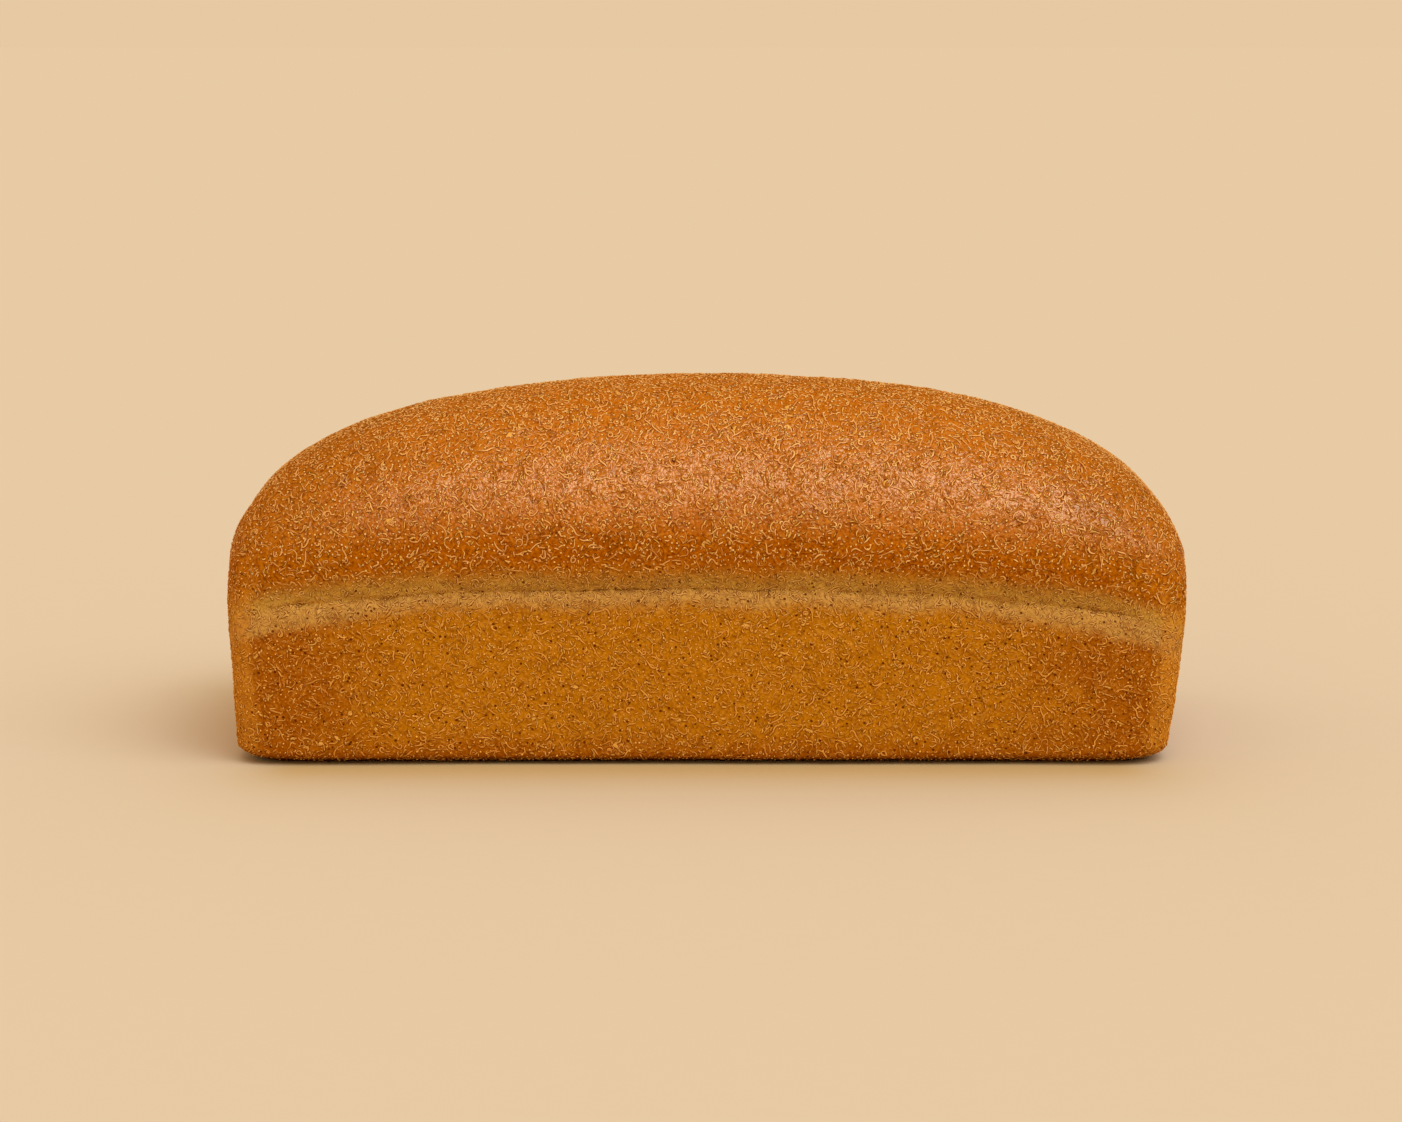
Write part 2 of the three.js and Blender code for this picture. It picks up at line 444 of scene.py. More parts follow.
lean = np.stack([np.where(u < 0, LEFT_LEAN, RIGHT_LEAN), np.full_like(u, SIDE_LEAN)], 1)
crown_share = (1 - climb_from(RIM_HEIGHT, height) ** CROWN_POWER) ** (1 / CROWN_POWER)
full = np.array([LENGTH, WIDTH]) / 2
wall = full - lean * (1 - height / RIM_HEIGHT)[:, None]
outline = soft_minimum(wall, full * crown_share[:, None], RIM_SOFTNESS)

tuck_under = np.clip(1 - height / roll, 0, 1)
roll_inset = BASE_OVERHANG * (1 - (1 - tuck_under**BASE_POWER) ** (1 / BASE_POWER))
into_lip = np.clip(above_crease / LIP_HEIGHT + 1, 0, 1) ** 2
up_underside = np.clip(above_crease / UNDERSIDE_HEIGHT, 0, 1)
tuck = 1 - np.sin(math.pi / 2 * up_underside)
hollow = np.where(above_crease < 0, into_lip, tuck)
crack = opening * CRACK_DEPTH * np.exp(-((above_crease / CRACK_HALF_HEIGHT) ** 2))
inset = roll_inset + fading * (CREASE_DEPTH * hollow + crack)
waist = WAIST * (1 - along_side**2) * np.where(above_crease < 0, 1, tuck)

rounding = climb_from(ROUNDING_FOOT, height) ** ROUNDING_POWER
power_x, power_y = (
    1 / ((1 - rounding) / tin + rounding / top) for tin, top in zip(TIN_SQUARENESS, TOP_SQUARENESS)
)
on_base = places[:, 2] < -1 + TINY
reach = reach_to_rim(u, v, power_x, power_y) * np.where(on_base, ring, 1)
skin_x = (outline[:, 0] - inset) * u * reach
skin_y = (outline[:, 1] - inset - waist) * v * reach
skin = np.stack([skin_x, skin_y, height], 1)
skin[middle, :2] = 0
print("the skin spans", np.round(np.ptp(skin, axis=0), 1), "mm")

# %% [markdown]
# ## Relief
# Bread isn't smooth. Slow swells show where the dough was folded, dimples are gas bubbles just under the
# skin, and small wrinkles came as the crust dried. Each is noise of its own size, pushed along the skin's
# normals. The torn dough in the crease is rougher than the rest. All of it stays just inside the solid's box.
#
# The finish will have to know where on the loaf a point is, such as how far above the crease. These numbers
# are stored at the mesh's points, because the crease wanders and no plain coordinate follows it.

# %% Raising the relief
RELIEF = [(0.9, 60, 5), (0.3, 17, 6), (0.2, 7, 7), (0.22, 2.8, 8)]
TORN_RELIEF = [(0.6, 4.5, 9), (0.5, 2.2, 10)]
TORN_HALF_HEIGHT = 4.5
SKIN_ROOM = 0.38  # millimetres kept free inside the box for what lies on the crust


def store(mesh, facts):
    """Stores named numbers at the points of a mesh."""
    for name, values in facts.items():
        mesh.attributes.new(name, "FLOAT", "POINT").data.foreach_set("value", values.astype(np.float32))


crust_mesh.vertices.foreach_set("co", (skin * MM).ravel())
crust_mesh.update()
normals = np.empty(len(skin) * 3)
crust_mesh.vertex_normals.foreach_get("vector", normals)
normals = normals.reshape(-1, 3)

torn = fading * np.exp(-(((above_crease + 0.5) / TORN_HALF_HEIGHT) ** 2))
relief = layered(skin, RELIEF) + torn * layered(skin, TORN_RELIEF)
settled = rise_between(height, 0.2, 4)  # the base and its edge lie flat
skin = skin + normals * (relief * settled)[:, None]
room = np.array([SKIN_ROOM, SKIN_ROOM, 0])
skin = np.clip(skin, solid_low + room, solid_high - SKIN_ROOM)

crust_mesh.vertices.foreach_set("co", (skin * MM).ravel())
crust_mesh.polygons.foreach_set("use_smooth", [True] * len(crust_mesh.polygons))
crust_mesh.update()
# Painted nearly black at the base's edge: partly scorched crust, partly painted shade where the loaf meets
# the table.
burnt_and_foot_shade = (1 - rise_between(height, 1.0, 2.6)) * rise_between(height, 0.0, 0.4)
store(crust_mesh, {"above_crease": above_crease, "way_round": way_round, "burnt_and_foot_shade": burnt_and_foot_shade})
crust = bpy.data.objects.new("crust", crust_mesh)
bpy.context.scene.collection.objects.link(crust)
print("relief runs from", round(relief.min(), 2), "to", round(relief.max(), 2), "mm")

# %% [markdown]
# ## The colour of the crust
# A crust browns by heat. The crown is a deep amber, painted darker towards its ends: partly its own browning
# and partly painted shade, darkest on the left, away from the lamps. The tin's walls kept the sides a duller
# ochre, redder and darker towards the ends and the foot. In the crease fresh dough was laid bare late in the
# bake, so it is pale and greyish. Down the corners runs a lighter tan, partly paler crust and partly a
# painted sheen of light grazing them. The very edge of the base is painted nearly black, partly scorched
# crust and partly painted shade where the loaf meets the table. One function makes this colour, because the
# bran on the crust starts from the same brown.
#
# Each brown turns into the next over a stretch of height. Noise moves those stretches up and down, because no
# oven browns along a straight line.

# %% The browns and where they meet
AMBER = colour("#DC7C04")
RED_BROWN = colour("#B05E02")
OCHRE = colour("#C6800E")
DARK_OCHRE = colour("#AC6004")
PALE_CRUMB = colour("#CC9A4E")
GREY_CRUMB = colour("#C89A42")
# The corners' lighter tan, partly paler crust and partly a painted sheen.
CORNER_SHEEN_TAN = colour("#D48C2C")
# Nearly black at the base's edge: partly scorched crust, partly painted shade.
BURNT_AND_SHADED_EDGE = colour("#3E1C05")
LIGHT_FLECK = colour("#E0A03C")
DARK_FLECK = colour("#8A4404")

# In millimetres above the crease, or below it.
SIDES_TO_CROWN = (0, 10)
RED_TO_AMBER = (8, 30)
SIDES_TO_PALE = (-6.5, -2)
PALE_TO_GREY = (-1.5, 1)
PALE_TO_CROWN = (1, 7.5)
SHEEN_TO_CROWN = (2, 16)
# In millimetres above the base.
FOOT_TO_SHEEN = (1, 8)
FOOT_TO_SIDES = (1, 12)

PATCH_SIZE, FLECK_SIZE = 16, 3
# The crown's ends are painted darker, the left more than the right: partly browning and partly painted shade,
# as the lamps stand to the right. This shift moves the middle of that darkening rightwards.
LEFT_SHADE_SHIFT = 8  # millimetres to the right: the oven was a little hotter on the left
print("amber and ochre are", np.round(AMBER[:3], 3), "and", np.round(OCHRE[:3], 3), "in linear numbers")


# %% One brown for every place
def share_of_length(paint, place):
    """How far along the loaf a place is, from 0 at its middle to 1 at its ends."""
    return abs(paint.part(place, 0) / MM - LEFT_SHADE_SHIFT) / (LENGTH / 2)


def ground_colour(paint, place):
    """The brown of the crust before wrinkles, specks and pores."""
    above = paint.stored("above_crease")
    way = paint.stored("way_round")
    depth = paint.part(place, 2) / MM
    patches = paint.noise(place, PATCH_SIZE, detail=3)
    flecks = paint.noise(place, FLECK_SIZE, detail=3)
    uneven = patches - 0.5

    # Painted darker towards the crown's ends, most on the left: partly its own browning, partly painted
    # shade.
    to_end = paint.rise(share_of_length(paint, place) + 0.5 * uneven, 0.5, 1.0)
    low_crown = paint.mix(to_end * 0.2, RED_BROWN, OCHRE)
    high_crown = paint.rise(above + 14 * uneven, *RED_TO_AMBER) * (1 - 0.75 * to_end)
    crown = paint.mix(high_crown, low_crown, AMBER)
    near_corner = paint.rise(way + 0.5 * uneven, 0.5, 0.9) * (1 - 0.7 * paint.rise(way, 0.94, 1.0))
    near_foot = 1 - paint.rise(depth + 8 * uneven, *FOOT_TO_SIDES)
    sides = paint.mix(paint.maths("MAXIMUM", near_corner, near_foot), OCHRE, DARK_OCHRE)
    browned = paint.mix(paint.rise(above, *SIDES_TO_CROWN), sides, crown)

    wobble = above + 5 * uneven + 3 * (flecks - 0.5)
    pale_below = paint.rise(wobble + 2.5 * paint.rise(way, 0.5, 0.9), *SIDES_TO_PALE)
    pale_above = 1 - paint.rise(wobble, *PALE_TO_CROWN)
    crumb = paint.mix(paint.rise(above, *PALE_TO_GREY), PALE_CRUMB, GREY_CRUMB)
    with_crumb = paint.mix(pale_below * pale_above, browned, crumb)
    # Painted sheen: a lighter tan rim down the corners, partly paler crust and partly painted light grazing
    # them.
    sheen_height = (1 - paint.rise(above, *SHEEN_TO_CROWN)) * paint.rise(depth, *FOOT_TO_SHEEN)
    with_sheen = paint.mix(paint.rise(way, 0.95, 0.985) * sheen_height * 0.6, with_crumb, CORNER_SHEEN_TAN)

    lightened = paint.mix(paint.rise(flecks, 0.5, 0.72) * 0.18, with_sheen, LIGHT_FLECK)
    mottled = paint.mix(paint.rise(1 - flecks, 0.5, 0.72) * 0.3, lightened, DARK_FLECK)
    # The foot's edge is painted nearly black: partly scorched crust, partly painted shade where the loaf
    # meets the table.
    return paint.mix(paint.stored("burnt_and_foot_shade"), mottled, BURNT_AND_SHADED_EDGE)


print("the brown is mottled in patches of", PATCH_SIZE, "mm and flecks of", FLECK_SIZE, "mm")

# %% [markdown]
# ## Wrinkles, specks and pores
# Seen close, the crust is full of curly lines, as if a fine thread had been pressed into it. Lines of equal
# height in smooth noise curl just like that: where noise passes through its middle value, a thin ridge is
# drawn, and a second noise cuts it into short pieces. How far the noise is off its middle is divided by its
# slope, so that every line is equally wide. Pores are the round middles of small Voronoi cells.
#
# Lines and pores change both the colour and the bump. The grooves beside the lines and between the loops are
# painted darker, as painted shade, and the loops' crests lighter, as painted light, so that the relief also
# shows where light falls straight on it. A fine grain is painted light and dark the same way, partly its own
# mottle and partly painted light and shade.

# %% Lines
SLOPE_STEP = 0.1  # millimetres, over which the noise's slope is measured
ELSEWHERE = (0.3, 0.1, 0.2)  # metres, so far off that the second noise has nothing to do with the first
KEPT_SHARE = (0.44, 0.6)  # a line is kept where the second noise is above this,
KEPT_SLOPE = (0.3, 1.0)  # and where the first one's squared slope is above this share of the usual
LINE_EDGE = (0.2, 1.3)  # a line fades out between these distances from its middle, in its half widths,
HALO_EDGE = (0.5, 2.3)  # and the groove beside it between these


def three_noises(paint, place, size):
    """A vector of three smooth noises with lumps of this many millimetres."""
    values = {"Vector": place, "Scale": 1 / (size * MM), "Detail": 0.0}
    return paint.node("ShaderNodeTexNoise", {}, values, output="Color")


def curly_lines(paint, place, size, half_width):
    """Two wires, 1 on short curly lines and 1 close round them. Three sets of lines lie over each other."""
    here = three_noises(paint, place, size)
    slopes = (0, 0, 0)
    for axis in range(3):
        shift = [SLOPE_STEP * MM if part == axis else 0 for part in range(3)]
        there = three_noises(paint, paint.vectors("ADD", place, shift), size)
        change = paint.vectors("SUBTRACT", there, here)
        slopes = paint.vectors("ADD", paint.vectors("MULTIPLY", change, change), slopes)
    off_line = paint.vectors("SUBTRACT", here, (0.5, 0.5, 0.5))
    distances = paint.vectors("DIVIDE", paint.vectors("MULTIPLY", off_line, off_line), slopes)
    shares = three_noises(paint, paint.vectors("ADD", place, ELSEWHERE), size * 0.9)

    usual_slope = (SLOPE_STEP / size) ** 2  # about how much the noise changes in a step, squared
    steps_wide = half_width / SLOPE_STEP
    on_line, beside_line = 0, 0
    for axis in range(3):
        steep = paint.rise(paint.part(slopes, axis), *[share * usual_slope for share in KEPT_SLOPE])
        kept = paint.rise(paint.part(shares, axis), *KEPT_SHARE) * steep
        squared = paint.part(distances, axis)
        line, halo = (
            kept * (1 - paint.rise(squared, *[(widths * steps_wide) ** 2 for widths in edge]))
            for edge in (LINE_EDGE, HALO_EDGE)
        )
        on_line = paint.maths("MAXIMUM", line, on_line)
        beside_line = paint.maths("MAXIMUM", halo, beside_line)
    return on_line, beside_line


def nested_lines(paint, place, size, lines):
    """Ridges side by side in loops, like those of a fingertip: a wave over the height of smooth noise."""
    lumps = paint.noise(place, size, detail=0.5, distortion=0.3)
    return paint.maths("SINE", lumps * (2 * math.pi * lines))


print("the slope of the noise is measured over", SLOPE_STEP, "mm")


# %% Spots, and where bran and gloss show
CROWN_STARTS = (2, 12)  # millimetres above the crease
GLOSS_STARTS = (12, 30)


def small_spots(paint, place, size, radius, share):
    """Round spots, one in a cell of this size, in a share of the cells."""
    cells = {"Vector": place, "Scale": 1 / (size * MM), "Randomness": 1.0}
    near = paint.node("ShaderNodeTexVoronoi", {}, cells)
    cell_colour = paint.node("ShaderNodeTexVoronoi", {}, cells, output="Color")
    lot = paint.node("ShaderNodeSeparateColor", {}, {0: cell_colour})
    return paint.maths("LESS_THAN", lot, share) * (1 - paint.rise(near, radius * 0.5, radius))


def bran_strength(paint, place, above):
    """How strongly the bran shows: less at the crown's ends, which are painted darker, partly their own
    browning and partly painted shade.
    """
    return 1 - 0.25 * paint.rise(share_of_length(paint, place), 0.6, 1.0) * paint.rise(above, *CROWN_STARTS)


def glossiness(paint, place, above):
    """How glossy the crust is: most on the crown, and less towards its ends."""
    return paint.rise(above, *GLOSS_STARTS) * (1 - 0.6 * paint.rise(share_of_length(paint, place), 0.65, 1.0))


def crease_share(paint, above):
    """1 in the pale crease, and 0 outside it."""
    return 1 - paint.rise(abs(above + 1), 3, 8)


print("the crust is glossy from", GLOSS_STARTS[0], "mm above the crease")

# %% [markdown]
# ## The crust's finish
# The crown is glossy between its wrinkles, and the rest is dull. A dull shader and a shiny one are mixed by a
# mask, because that mask can then follow the wrinkles. The skin was drawn out across the loaf as it rose, so
# the pattern is stretched that way by a Mapping node, which also turns it off the axes.

# %% Marking and shading the crust
DEEP_BROWN = colour("#702600")
PORE_BROWN = colour("#6C2200")
HONEY = colour("#FFC060")
GOLD = colour("#FFAC24")
OAT = colour("#EEB86C")
CREAM = colour("#FFE0A4")
WARM_GLOSS = colour("#FFF0D0")
PATTERN_TURN = (0.5, 0.4, 0.7)  # radians
PATTERN_SCALE = (1, 0.5, 1)
BUMP_HEIGHT = 0.3


def finish_crust():
    paint = Paint(bpy.data.materials.new("baked crust"))
    place = paint.place()
    above = paint.stored("above_crease")
    on_crown = paint.rise(above, *CROWN_STARTS)
    strength = bran_strength(paint, place, above)
    thread_colour = paint.mix(crease_share(paint, above), HONEY, OAT)

    mapping = {"Vector": place, "Rotation": PATTERN_TURN, "Scale": PATTERN_SCALE}
    turned = paint.node("ShaderNodeMapping", {}, mapping)
    line, halo = curly_lines(paint, turned, size=2.5, half_width=0.23)
    line_crest = paint.rise(line, 0.35, 0.9)
    patchy = paint.rise(paint.noise(place, 5, detail=1), 0.45, 0.6)
    loops = nested_lines(paint, place, size=6, lines=9)
    holes = small_spots(paint, place, size=2.2, radius=0.19, share=0.85) * (1 - 0.8 * on_crown)
    specks = small_spots(paint, turned, size=2.0, radius=0.2, share=0.35) * on_crown
    grain = paint.noise(turned, 0.75, detail=1)
    grain_light = paint.rise(grain, 0.57, 0.78)
    grain_dark = paint.rise(1 - grain, 0.42, 0.7)

    # Painted shade in the grooves beside lines, between loops and between grains; painted light on loop
    # crests and grains.
    loop_grooves = paint.rise(0 - loops, 0, 1) * patchy * 0.15
    in_shade = loop_grooves + grain_dark * (0.3 + 0.15 * on_crown) + halo * 0.6
    shaded = paint.mix(in_shade, ground_colour(paint, place), DEEP_BROWN)
    in_light = paint.rise(loops, 0.3, 1) * patchy * 0.08 + grain_light * 0.35 * strength
    gilded = paint.mix(in_light, shaded, paint.mix(on_crown, thread_colour, GOLD))
    lined = paint.mix(line_crest * 0.75 * strength, gilded, thread_colour)
    speckled = paint.mix(specks * 0.8, lined, CREAM)
    tinted = paint.mix(holes * 0.9, speckled, PORE_BROWN)

    ridges = loops * patchy * 0.4 + line * 1.3 + grain * 0.7 - halo * 0.3 + specks - holes * 1.5
    ridges = ridges * (1 + 0.4 * on_crown)
    bump_values = {"Strength": 1.0, "Distance": BUMP_HEIGHT * MM, "Height": ridges}
    bump = paint.node("ShaderNodeBump", {}, bump_values)
    both = {"Base Color": tinted, "Normal": bump}
    dull = {**both, "Roughness": 0.7, "Specular IOR Level": 0.0}
    shiny = {**both, "Roughness": 0.3, "Specular IOR Level": 1.0, "IOR": 1.8, "Specular Tint": WARM_GLOSS}
    shine = glossiness(paint, place, above) * (1 - 0.9 * paint.maths("MAXIMUM", halo, grain_dark))
    dull_shader = paint.node("ShaderNodeBsdfPrincipled", {}, dull)
    shiny_shader = paint.node("ShaderNodeBsdfPrincipled", {}, shiny)
    paint.cover(paint.node("ShaderNodeMixShader", {}, {0: shine, 1: dull_shader, 2: shiny_shader}))
    return paint.owner


crust.data.materials.append(finish_crust())
print("a ridge of 1 stands", BUMP_HEIGHT, "mm high in the crust's bump")

# %% [markdown]
# ## Bran on the crust
# Wholemeal flour leaves thousands of tiny curled strands of bran on the skin. They catch the light, so they
# are made as real ridges and not only as bump. A strand starts at a random place, walks over the crust in
# short steps, and turns a little at each. The crust's own surface pulls every step back onto it. A strand
# ends where it comes too near one of its own kind, but threads and curls may cross each other, as bran does.
# Chips and grains keep clear of each other. The skin on top was drawn out across the loaf as it rose, so
# strands are longer and wider that way there.
#
# Operators could extrude each strand by itself, but there are tens of thousands of them. So numpy works out
# the rings of all strands of a kind at once, and they become one joined mesh.

# %% Places to start from
BRAN_FOOT = 1.2  # millimetres: no strand starts lower
MORE_IN_TEAR = 0.8  # how much more bran the torn crease has than the rest

crust_mesh.calc_loop_triangles()
corners = np.empty(len(crust_mesh.loop_triangles) * 3, dtype=np.int32)
crust_mesh.loop_triangles.foreach_get("vertices", corners)
corners = corners.reshape(-1, 3)
triangle_points = (skin * MM)[corners]
edge_a = triangle_points[:, 1] - triangle_points[:, 0]
edge_b = triangle_points[:, 2] - triangle_points[:, 0]
areas = np.linalg.norm(np.cross(edge_a, edge_b), axis=1) / 2
shown = triangle_points[:, :, 2].mean(1) > BRAN_FOOT * MM
weights = np.where(shown, areas, 0) * (1 + MORE_IN_TEAR * torn[corners].mean(1))
surface = BVHTree.FromPolygons((skin * MM).tolist(), corners.tolist())
print("the crust above the table measures", round(areas[shown].sum() * 1e4), "square centimetres")


def random_places(count, rng):
    """Places spread over the crust above the table, a little closer together where it is torn."""
    chosen = rng.choice(len(areas), size=count, p=weights / weights.sum())
    a, b = rng.random((2, count))
    fold = a + b > 1
    a[fold], b[fold] = 1 - a[fold], 1 - b[fold]
    return triangle_points[chosen, 0] + a[:, None] * edge_a[chosen] + b[:, None] * edge_b[chosen]


# %% Keeping clear of other strands
GAP = 0.7 * MM  # between the middle lines of two strands
BESIDE = [(i, j, k) for i in (-1, 0, 1) for j in (-1, 0, 1) for k in (-1, 0, 1)]


def cell_of(point):
    return tuple(math.floor(part / GAP) for part in point)


def is_free(point, taken):
    """Whether no strand is near. Taken holds the points of strands, sorted into cells as wide as the gap."""
    x, y, z = cell_of(point)
    for i, j, k in BESIDE:
        for other in taken.get((x + i, y + j, z + k), ()):
            if (point - other).length < GAP:
                return False
    return True


print("a place is compared with the strands in", len(BESIDE), "cells round it")

# %% Walking a strand over the crust
DRAWN_ACROSS = 0.9  # how much longer the skin on top became across the loaf
SWAY = 1.6  # how strongly a strand's bend swings as it runs, beside its own bend,
SWINGS = (1.5, 6)  # and through how many radians
WAVER = 0.4  # how unsteady the turns are, in radians a millimetre


def walk(start, heading, step, turns, taken):
    """Points, normals and triangles of a path over the crust that turns by the given angle at each step."""
    path = []
    here, normal, triangle, _ = surface.find_nearest(Vector(start))
    heading = Vector(heading)
    for turning in turns:
        if not is_free(here, taken):
            break
        path.append((*here, *normal, triangle))
        heading = (heading - normal * heading.dot(normal)).normalized()
        side = normal.cross(heading)
        heading = heading * math.cos(turning) + side * math.sin(turning)
        drawn = 1 + DRAWN_ACROSS * max(normal.z, 0) ** 2
        stride = Vector((heading.x, heading.y * drawn, heading.z)) * step
        here, normal, triangle, _ = surface.find_nearest(here + stride)
    for point in path:
        here = Vector(point[:3])
        taken.setdefault(cell_of(here), []).append(here)
    return np.array(path)


def lay_strands(kind, taken):
    """Paths for all strands of a kind: at each step a point, a normal and a triangle of the crust."""
    rng = np.random.default_rng(kind["seed"])
    tries, each = kind["tries"], kind["points"]
    starts = random_places(tries, rng)
    headings = rng.normal(size=(tries, 3))
    steps = rng.uniform(*kind["length"], tries) * MM / (each - 1)
    bend = rng.uniform(*kind["bend"], tries) * rng.choice([-1, 1], tries)
    first_phase = rng.uniform(0, 2 * math.pi, (tries, 1))
    phase = first_phase + np.linspace(0, 1, each) * rng.uniform(*SWINGS, (tries, 1))
    waver = rng.normal(0, WAVER, (tries, each))
    turns = (bend[:, None] * (1 + SWAY * np.sin(phase)) + waver) * (steps[:, None] / MM)
    paths = []
    for facts in zip(starts, headings, steps, turns):
        if len(paths) == kind["most"]:
            break
        path = walk(*facts, taken)
        if len(path) >= kind["fewest"]:
            marks = np.linspace(0, len(path) - 1, each)
            eased = [np.interp(marks, range(len(path)), column) for column in path[:, :6].T]
            paths.append(np.column_stack([*eased, path[np.rint(marks).astype(int), 6]]))
    paths = np.array(paths)
    return paths[..., :3], paths[..., 3:6], paths[..., 6].astype(int)


print("strands on top are up to", round(1 + DRAWN_ACROSS, 1), "times as long across the loaf")

# %% Giving the strands a body
SUNK = 0.05  # how deep their feet are set into the crust
UNEVEN_SIZE = (0.7, 1.25)
SHORTEST_VECTOR = 1e-12
TIP_CREST = 0.3  # how much of a crest the finish sees at a tip


def strand_faces(rings):
    """The triangles of one strand: three points to a ring, then the two tips."""
    faces = []
    first_tip, last_tip, last_ring = 3 * rings, 3 * rings + 1, 3 * rings - 3
    for corner in range(3):
        after = (corner + 1) % 3
        for ring in range(0, last_ring, 3):
            faces += [(ring + corner, ring + after + 3, ring + after)]
            faces += [(ring + corner, ring + corner + 3, ring + after + 3)]
        faces += [(first_tip, corner, after), (last_tip, last_ring + after, last_ring + corner)]
    return np.array(faces)


def strand_bodies(kind, points, up, rng):
    """The vertices of each strand: rings of foot, crest and foot, and then its two tips."""
    side = np.cross(up, np.gradient(points, axis=1))
    side /= np.maximum(np.linalg.norm(side, axis=2, keepdims=True), SHORTEST_VECTOR)
    middles, ups, sides = points[:, 1:-1], up[:, 1:-1], side[:, 1:-1]
    belly = np.sin(np.linspace(0, math.pi, points.shape[1])[1:-1])[None, :, None] ** 0.5
    size = rng.uniform(*UNEVEN_SIZE, (len(points), 1, 1)) * belly * MM
    drawn = 1 + 0.5 * DRAWN_ACROSS * np.maximum(ups[:, :, 2:], 0) ** 2 * abs(sides[:, :, 1:2])
    half_width = sides * kind["width"] / 2 * size * drawn
    foot = middles - ups * SUNK * MM
    crest = middles + ups * kind["height"] * size
    rings = np.stack([foot - half_width, crest, foot + half_width], 2).reshape(len(points), -1, 3)
    tips = points[:, [0, -1]] - up[:, [0, -1]] * SUNK * MM
    return np.clip(np.concatenate([rings, tips], axis=1), solid_low * MM, solid_high * MM)


def strand_facts(kind, triangles, rng):
    """What the strands' finish has to know at each of their vertices."""
    count, each = triangles.shape
    rings = each - 2
    faint, pale = kind["tone"]
    tone = faint + (pale - faint) * rng.random(count) ** 1.3
    ring_triangles = np.repeat(triangles[:, 1:-1], 3, axis=1)
    nearest = corners[np.concatenate([ring_triangles, triangles[:, [0, -1]]], axis=1).ravel(), 0]
    return {
        "above_crease": above_crease[nearest],
        "way_round": way_round[nearest],
        "burnt_and_foot_shade": burnt_and_foot_shade[nearest],
        "crest": np.tile([kind["foot"], 1.0, kind["foot"]] * rings + [TIP_CREST] * 2, count),
        "tone": np.repeat(tone, 3 * rings + 2),
    }


def strand_piece(kind, taken):
    """One piece of many thin ridges that lie on the crust."""
    rng = np.random.default_rng(kind["seed"] + 100)
    points, up, triangles = lay_strands(kind, taken)
    vertices = strand_bodies(kind, points, up, rng)
    first_vertices = np.arange(len(vertices)) * vertices.shape[1]
    faces = strand_faces(points.shape[1] - 2)[None] + first_vertices[:, None, None]
    mesh = bpy.data.meshes.new(kind["name"])
    mesh.from_pydata(vertices.reshape(-1, 3).tolist(), [], faces.reshape(-1, 3).tolist())
    mesh.polygons.foreach_set("use_smooth", [True] * len(mesh.polygons))
    store(mesh, strand_facts(kind, triangles, rng))
    piece = bpy.data.objects.new(kind["name"], mesh)
    bpy.context.scene.collection.objects.link(piece)
    print(kind["name"], "has", len(points), "strands and", len(mesh.polygons), "triangles")
    return piece


# %% Four kinds of strand
BRAN_KINDS = [
    # Lengths, widths and heights are in millimetres, and bends in radians a millimetre. A strand is kept if
    # it has at least the fewest points. Tone is how pale its crest is, and foot how far down that reaches.
    {
        "name": "bran_threads",
        "clear_of": "threads",
        "tries": 6000,
        "most": 3300,
        "points": 12,
        "fewest": 6,
        "length": (3.0, 6.5),
        "bend": (0.2, 1.0),
        "width": 0.85,
        "height": 0.22,
        "tone": (0.2, 0.9),
        "foot": 0.0,
        "seed": 21,
    },
    {
        "name": "bran_curls",
        "clear_of": "curls",
        "tries": 13000,
        "most": 5500,
        "points": 8,
        "fewest": 5,
        "length": (1.6, 3.6),
        "bend": (0.3, 1.5),
        "width": 0.85,
        "height": 0.22,
        "tone": (0.25, 1.0),
        "foot": 0.0,
        "seed": 22,
    },
    {
        "name": "bran_chips",
        "clear_of": "chips and grains",
        "tries": 30000,
        "most": 8300,
        "points": 6,
        "fewest": 4,
        "length": (1.1, 2.4),
        "bend": (0.1, 1.4),
        "width": 0.85,
        "height": 0.22,
        "tone": (0.25, 1.0),
        "foot": 0.0,
        "seed": 23,
    },
    {
        "name": "bran_grains",
        "clear_of": "chips and grains",
        "tries": 90000,
        "most": 16000,
        "points": 4,
        "fewest": 3,
        "length": (0.55, 0.95),
        "bend": (0, 0.5),
        "width": 1.0,
        "height": 0.3,
        "tone": (0.4, 1.6),
        "foot": 0.25,
        "seed": 24,
    },
]

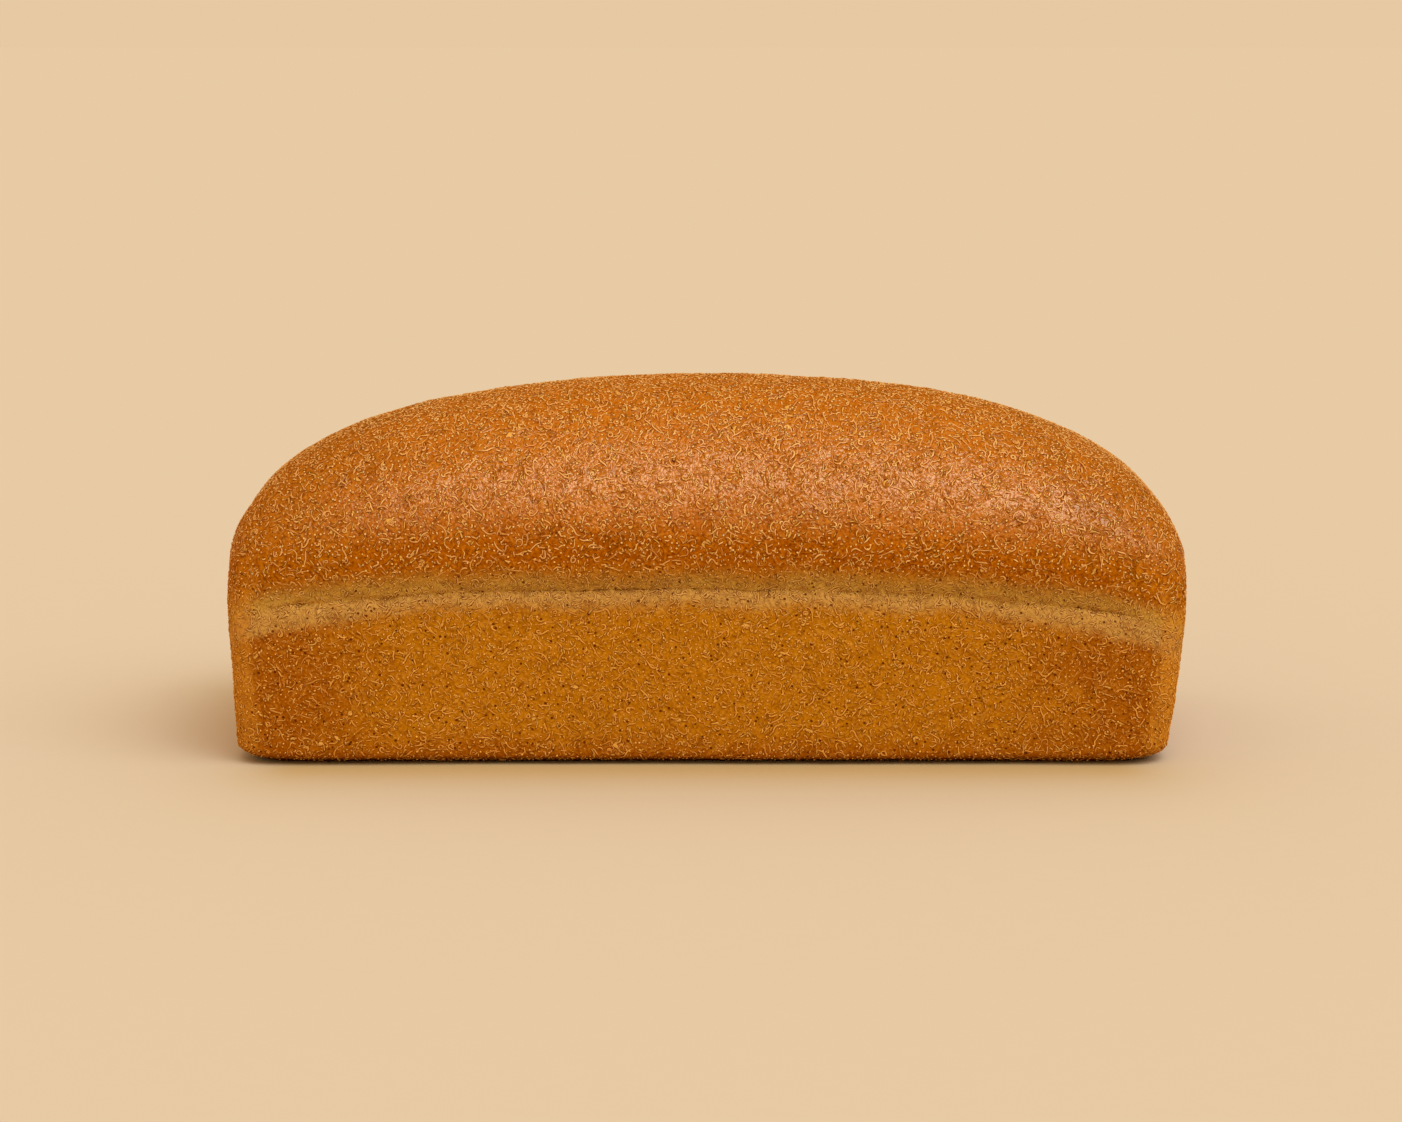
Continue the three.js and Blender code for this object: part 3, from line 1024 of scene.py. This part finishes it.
laid = {kind["clear_of"]: {} for kind in BRAN_KINDS}
bran_pieces = [strand_piece(kind, laid[kind["clear_of"]]) for kind in BRAN_KINDS]

# %% [markdown]
# ## The bran's finish
# A strand's crest is pale bran, and its feet are painted as brown as the groove they stand in, a painted
# shade, so each strand stands out from the crust. Light brown is kept to the very crest, because on the
# flanks it would look grey in the shade. A thin glossy coat on the crown's crests catches the lamp as the
# crust between them does.

# %% Shading the bran
# The painted shade at the strands' feet, the brown of the groove they stand in.
GROOVE_SHADE_BROWN = colour("#862E00")


def finish_bran():
    paint = Paint(bpy.data.materials.new("bran"))
    place = paint.place()
    above = paint.stored("above_crease")
    crest = paint.stored("crest")
    tone = paint.stored("tone")
    on_crown = paint.rise(above, *CROWN_STARTS)
    in_crease = crease_share(paint, above)
    ground = ground_colour(paint, place)

    pale = paint.mix(0.35 * on_crown, paint.mix(in_crease, HONEY, OAT), CREAM)
    paleness = 0.1 + tone * (0.6 + 0.2 * on_crown - 0.2 * in_crease)
    top = paint.mix(paleness * bran_strength(paint, place, above), ground, pale)
    # Painted shade: the strand's feet darken to the groove's brown.
    groove = paint.mix(0.5 + 0.4 * tone, ground, GROOVE_SHADE_BROWN)
    tinted = paint.mix(paint.rise(crest, 0.42, 0.72), groove, top)
    values = {
        "Base Color": tinted,
        "Roughness": 0.6 - 0.1 * on_crown,
        "Specular IOR Level": 0.0,
        "Coat Weight": glossiness(paint, place, above) * paint.rise(crest, 0.5, 0.9) * 0.9,
        "Coat Roughness": 0.3,
        "Coat IOR": 1.7,
    }
    paint.cover(paint.node("ShaderNodeBsdfPrincipled", {}, values))
    return paint.owner


bran_finish = finish_bran()
for piece in bran_pieces:
    piece.data.materials.append(bran_finish)
print("one finish covers", len(bran_pieces), "kinds of bran")

# %% [markdown]
# ## Putting the pieces in the frame
# The crust stands for the whole solid loaf, so the solid is hidden behind it. Crust and bran are one body.

# %% Riding on the frame
for piece in [crust, *bran_pieces]:
    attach(piece, "root")
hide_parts("loaf")
